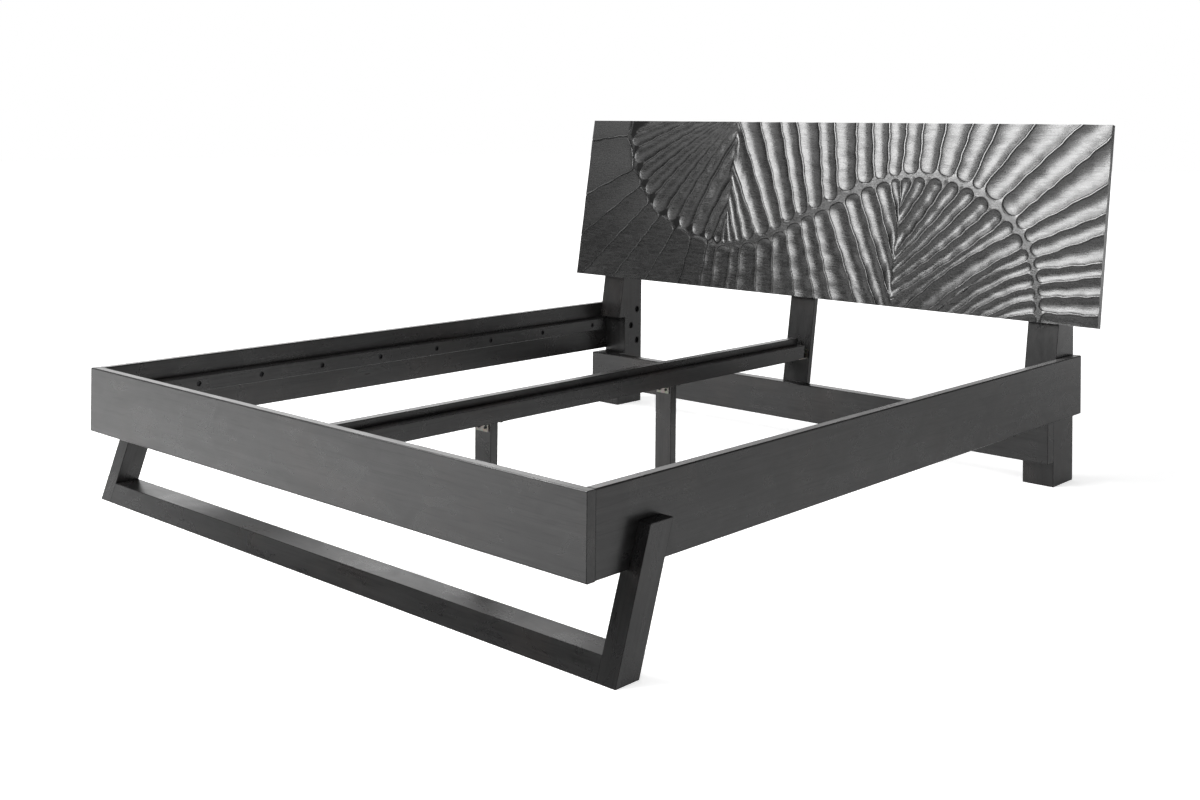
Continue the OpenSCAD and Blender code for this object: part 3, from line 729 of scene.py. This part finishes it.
# Rows of points across one flute, from its rounded end on the wave to its far end
def fluteRows(ridgeA, ridgeB, wave, endRow, fan, feet):
    seed = feet[0]
    ridgeHalf = fan.get("ridgeHalf", carving["ridgeHalf"])
    swayHigh, swayLong = carving["depthSway"]
    sunkA, sunkB = [fan.get("sunk", {}).get(foot, 0) for foot in feet]
    startA, startB, along = capStart(ridgeA, ridgeB, wave, fan.get("cap", 1), ridgeHalf)
    length = (ridgeA[-1] + ridgeB[-1] - pointOn(ridgeA, startA) - pointOn(ridgeB, startB)).length / 2
    across = len(endRow) - 1 if endRow else carving["across"]
    count = max(4, int(length / carving["rowStep"]))
    rows = []
    for i in range(count + 1):
        t = i / count
        a = pointOn(ridgeA, startA + (1 - startA) * t)
        b = pointOn(ridgeB, startB + (1 - startB) * t)
        gap = min(ridgeHalf / (b - a).length, carving["ridgeShare"])
        left, right = a.lerp(b, gap), b.lerp(a, gap)
        half = (right - left).length / 2
        depth = fluteDepth(half, fan)
        depth *= 1 + swayHigh * noise.noise(Vector((t * length / swayLong, seed, 0)))
        reach = max(0, 1 - (1 - t) * length / carving["axisReach"])
        row = []
        for j in range(across + 1):
            share = evenShare(j, across)
            if endRow:
                target = (endRow[j][0] - endRow[0][0]).length / (endRow[-1][0] - endRow[0][0]).length
                share += (target - share) * smooth(t)
            point = left.lerp(right, share)
            z = floorAt(point, abs(2 * share - 1), half, depth, fan, seed)
            z -= (sunkA * (1 - share) + sunkB * share) * min(1, t * length / carving["sunkReach"])
            if endRow:
                z += (endRow[j][1] - z) * smooth(reach)
                if i == count:
                    point = endRow[j][0]
            row.append(Vector((point.x, point.y, z)))
        rows.append(row)
    return roundedEnd(rows[0], along, fan, seed) + rows


# Points and depths along an axis that the flutes of both its sides share
def axisRows(name, axis):
    ends = [end for fan in fans.values() if fan["axis"] == name for foot, end in fan["ridges"]]
    heights = sorted({end for end in ends if not isinstance(end, tuple)})
    row = []
    for low, high in zip(heights, heights[1:]):
        gap = min(carving["ridgeHalf"], carving["ridgeShare"] * (high - low))
        few, many = carving["axisAcross"]
        count = many if high - low > carving["axisWide"] else few
        depth = min(carving["deepest"], carving["axisDepthShare"] * (high - low))
        for j in range(count + 1):
            share = evenShare(j, count)
            z = -depth * (1 - (2 * share - 1) ** 2) if 0 < j < count else 0
            row.append((pointAtHeight(axis, low + gap + (high - low - 2 * gap) * share), z))
    return row


def allFlutes():
    wave = smoothPath(carving["wave"], carving["waveSteps"])
    axes = {name: [Vector(p) for p in carving[name]] for name in ("leftAxis", "rightAxis")}
    shared = {name: axisRows(name, axis) for name, axis in axes.items()}
    ridges = {}
    flutes = []
    for fan in fans.values():
        for foot, far in fan["ridges"]:
            if (foot, far) not in ridges:
                onAxis = not isinstance(far, tuple)
                end = pointAtHeight(axes[fan["axis"]], far) if onAxis else Vector(far)
                overrun = 0 if onAxis else fan.get("overrun", carving["overrun"])
                ridges[foot, far] = makeRidge(pointAlong(wave, foot), end, fan.get("bow", 0), overrun, foot)
        for first, second in zip(fan["ridges"], fan["ridges"][1:]):
            endRow = None
            if not isinstance(first[1], tuple) and not isinstance(second[1], tuple):
                low, high = sorted((first[1], second[1]))
                endRow = [item for item in shared[fan["axis"]] if low < item[0].y < high]
                if first[1] > second[1]:
                    endRow.reverse()
            rows = fluteRows(ridges[first], ridges[second], wave, endRow, fan, (first[0], second[0]))
            flutes.append((rows, fan))
    return flutes


# 0 in the middle of a flute, 1 on its ridges, and by the swell more or less round its end on the wave
def rimAt(i, j, across, fan):
    side = abs(2 * j / across - 1)
    turned = max(0, 1 - i / carving["capRows"]) * math.pi / 2
    rim = math.hypot(side * math.cos(turned), math.sin(turned))
    return fan.get("rimReach", 1) * rim * (1 + fan.get("swell", carving["swell"]) * math.sin(turned))


def cutFlutes(bm, layer):
    for rows, fan in allFlutes():
        across = len(rows[0]) - 1
        made = bmesh.ops.create_grid(bm, x_segments=across, y_segments=len(rows) - 1, size=1)
        for index, vert in enumerate(made["verts"]):
            i, j = divmod(index, across + 1)
            vert.co = rows[i][j]
            vert[layer] = rimAt(i, j, across, fan)
    bmesh.ops.remove_doubles(bm, verts=bm.verts, dist=carving["merge"])


# Flat wood left between the flutes, out to a border that is cut away afterwards
def fillWeb(bm, layer):
    rims = [edge for edge in bm.edges if len(edge.link_faces) == 1]
    reachX = panel["width"] / 2 + carving["margin"]
    reachY = panel["height"] + carving["margin"]
    low = -carving["margin"]
    corners = [bm.verts.new(p) for p in (
        (-reachX, low, 0), (reachX, low, 0), (reachX, reachY, 0), (-reachX, reachY, 0))]
    for corner in corners:
        corner[layer] = carvedLook["rimReach"]
    border = [bm.edges.new((a, b)) for a, b in zip(corners, corners[1:] + corners[:1])]
    bmesh.ops.triangle_fill(bm, use_beauty=True, edges=rims + border, normal=(0, 0, 1))
    for edge in rims:
        edge.smooth = max(vert[layer] for vert in edge.verts) < carving["softRim"]


def trimBoard(bm):
    half = panel["width"] / 2
    for place, way in (((half, 0, 0), (1, 0, 0)), ((-half, 0, 0), (-1, 0, 0)),
                       ((0, 0, 0), (0, -1, 0)), ((0, panel["height"], 0), (0, 1, 0))):
        bmesh.ops.bisect_plane(bm, geom=bm.verts[:] + bm.edges[:] + bm.faces[:], dist=0.001,
                               plane_co=place, plane_no=way, clear_outer=True)


# Edges and back of the board, with a small bevel round the back
def addBack(bm):
    half, bevel = panel["width"] / 2, panel["backBevel"]
    rim = [edge for edge in bm.edges if len(edge.link_faces) == 1]
    for depth, inset in ((bevel - panel["thickness"], 0), (-panel["thickness"], bevel)):
        made = bmesh.ops.extrude_edge_only(bm, edges=rim)["geom"]
        for vert in [item for item in made if isinstance(item, bmesh.types.BMVert)]:
            vert.co.x = min(max(vert.co.x, inset - half), half - inset)
            vert.co.y = min(max(vert.co.y, inset), panel["height"] - inset)
            vert.co.z = depth
        rim = [item for item in made if isinstance(item, bmesh.types.BMEdge)]
    bmesh.ops.contextual_create(bm, geom=rim)


def carvedHeadboard():
    low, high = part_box(panel["node"])
    bm = bmesh.new()
    layer = bm.verts.layers.float.new(carvedLook["attribute"])
    cutFlutes(bm, layer)
    fillWeb(bm, layer)
    trimBoard(bm)
    addBack(bm)
    bmesh.ops.recalc_face_normals(bm, faces=bm.faces)
    for face in bm.faces:
        face.smooth = True
    for edge in bm.edges:
        if len(edge.link_faces) == 2 and edge.calc_face_angle() > math.radians(carving["sharpAngle"]):
            edge.smooth = False
    middle = Matrix.Translation((0, -panel["height"] / 2, panel["thickness"] / 2))
    upright = Matrix.Rotation(math.pi / 2 - panel["lean"], 4, "X")
    place = Matrix.Translation((low + high) / 2) @ upright @ Matrix.Scale(mm, 4) @ middle
    bmesh.ops.transform(bm, matrix=place, verts=bm.verts)
    mesh = bpy.data.meshes.new("carvedHeadboard")
    bm.to_mesh(mesh)
    bm.free()
    mesh.materials.append(carvedStain)
    board = bpy.data.objects.new("carved_headboard", mesh)
    bpy.context.scene.collection.objects.link(board)
    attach(board, "root")
    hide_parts(panel["node"])
    print("headboard done", len(mesh.polygons), "faces")
    return board


carvedHeadboard()

# Studio: white floor that keeps the shadow, white world for the camera and for gloss, soft lamps

studio = {
    "floorSize": 60,
    "floorColour": 0.92,
    "glow": {"near": 0.55, "far": 1.0, "nearReach": 1.6, "farReach": 4.5},
    "gleam": {"place": (1.6, 2.0, 0), "nearReach": 0.8, "farReach": 5.2, "mirrored": 1.0},
    "worldFill": 0.45,
    "backdrop": {"mirrored": 1.0, "from": 0.45, "to": 0.85, "dark": 0.02},
    "lamps": {
        "keyLamp": {"place": (-1.0, -2.4, 2.35), "aim": (0.3, 1.05, 0.85), "size": (1.8, 1.3), "power": 92},
        "keyHighLamp": {"place": (-1.4, -1.9, 3.0), "aim": (0.3, 1.05, 0.85), "size": (0.9, 0.9), "power": 4},
        "frontLamp": {"place": (0.3, -4.6, 2.0), "aim": (0, -0.5, 0.4), "size": (2.4, 1.6), "power": 24},
        "leftHighLamp": {"place": (-2.5, -1.4, 4.1), "aim": (0, 0, 0.4), "size": (1.6, 1.6), "power": 80},
        "leftLowLamp": {"place": (-4.6, -3.0, 0.4), "aim": (-0.5, -1.1, 0.35), "size": (1, 0.8), "power": 4},
        "backLeftLamp": {"place": (-4.0, 3.1, 1.8), "aim": (0, 0, 0.4), "size": (5.0, 0.9), "power": 16},
        "rightHighLamp": {"place": (1.0, -2.0, 2.6), "aim": (0.5, 1.0, 0.85), "size": (1.4, 0.8), "power": 4},
        "farLeftLamp": {"place": (-4.0, -2.4, 2.2), "aim": (-0.8, 1.05, 0.9), "size": (1.6, 1.0), "power": 6},
        "sideLamp": {"place": (-1.6, -0.4, 2.0), "aim": (0.5, 1.0, 0.85), "size": (0.8, 0.8), "power": 2},
        "headLamp": {"place": (0.4, 0.2, 1.9), "aim": (0.5, 1.0, 0.85), "size": (0.8, 0.8), "power": 4},
    },
}


# Whole for the camera, another share for what metal, glass and gloss show, another for the rest
def seenShare(tree, mirrored, lit=0):
    rays = newNode(tree, "ShaderNodeLightPath").outputs
    either = maths(tree, "MAXIMUM", rays["Is Glossy Ray"], rays["Is Transmission Ray"])
    return mixValue(tree, rays["Is Camera Ray"], mixValue(tree, either, lit, mirrored), 1.0)


def addFloor():
    bm = bmesh.new()
    bmesh.ops.create_grid(bm, x_segments=2, y_segments=2, size=studio["floorSize"] / 2)
    mesh = bpy.data.meshes.new("studioFloor")
    bm.to_mesh(mesh)
    bm.free()
    material, tree = newMaterial("paleFloor")
    glow = studio["glow"]
    place = newNode(tree, "ShaderNodeTexCoord").outputs["Object"]
    away = newNode(tree, "ShaderNodeVectorMath", {"operation": "LENGTH"}, {0: place}).outputs["Value"]
    strength = remap(tree, away, glow["nearReach"], glow["farReach"], glow["near"], glow["far"])
    gleam = studio["gleam"]
    apart = newNode(tree, "ShaderNodeVectorMath", {"operation": "DISTANCE"}, {
        0: place, 1: gleam["place"]}).outputs["Value"]
    mirrored = remap(tree, apart, gleam["nearReach"], gleam["farReach"], 0, gleam["mirrored"])
    seen = maths(tree, "MULTIPLY", strength, seenShare(tree, mirrored))
    white = studio["floorColour"]
    matt = newNode(tree, "ShaderNodeBsdfDiffuse", inputs={"Color": (white, white, white, 1)})
    shining = newNode(tree, "ShaderNodeEmission", inputs={"Color": (1, 1, 1, 1), "Strength": seen})
    both = newNode(tree, "ShaderNodeAddShader", inputs={0: matt.outputs[0], 1: shining.outputs[0]})
    finishMaterial(tree, both.outputs[0])
    mesh.materials.append(material)
    floor = bpy.data.objects.new("studio_floor", mesh)
    bpy.context.scene.collection.objects.link(floor)


def addWorld():
    world = bpy.data.worlds.new("studioWorld")
    bpy.context.scene.world = world
    world.use_nodes = True
    tree = world.node_tree
    tree.nodes.clear()
    backdrop = studio["backdrop"]
    way = newNode(tree, "ShaderNodeTexCoord").outputs["Generated"]
    ahead = Vector((-math.sin(shot["turn"]), math.cos(shot["turn"]), 0))
    facing = dotWith(tree, way, ahead)
    mirrored = remap(tree, facing, backdrop["from"], backdrop["to"], backdrop["dark"], backdrop["mirrored"])
    strength = seenShare(tree, mirrored, studio["worldFill"])
    final = newNode(tree, "ShaderNodeBackground", inputs={"Color": (1, 1, 1, 1), "Strength": strength})
    output = tree.nodes.new("ShaderNodeOutputWorld")
    tree.links.new(final.outputs[0], output.inputs["Surface"])


def addLamps():
    for name, lamp in studio["lamps"].items():
        data = bpy.data.lights.new(name, "AREA")
        data.shape = "RECTANGLE"
        data.size, data.size_y = lamp["size"]
        data.energy = lamp["power"]
        light = bpy.data.objects.new(name, data)
        toward = Vector(lamp["aim"]) - Vector(lamp["place"])
        light.visible_camera = False
        turned = toward.to_track_quat("-Z", "Y").to_matrix().to_4x4()
        light.matrix_world = Matrix.Translation(lamp["place"]) @ turned
        bpy.context.scene.collection.objects.link(light)


addFloor()
addWorld()
addLamps()
bpy.context.scene.view_settings.view_transform = "Standard"
print("studio done")
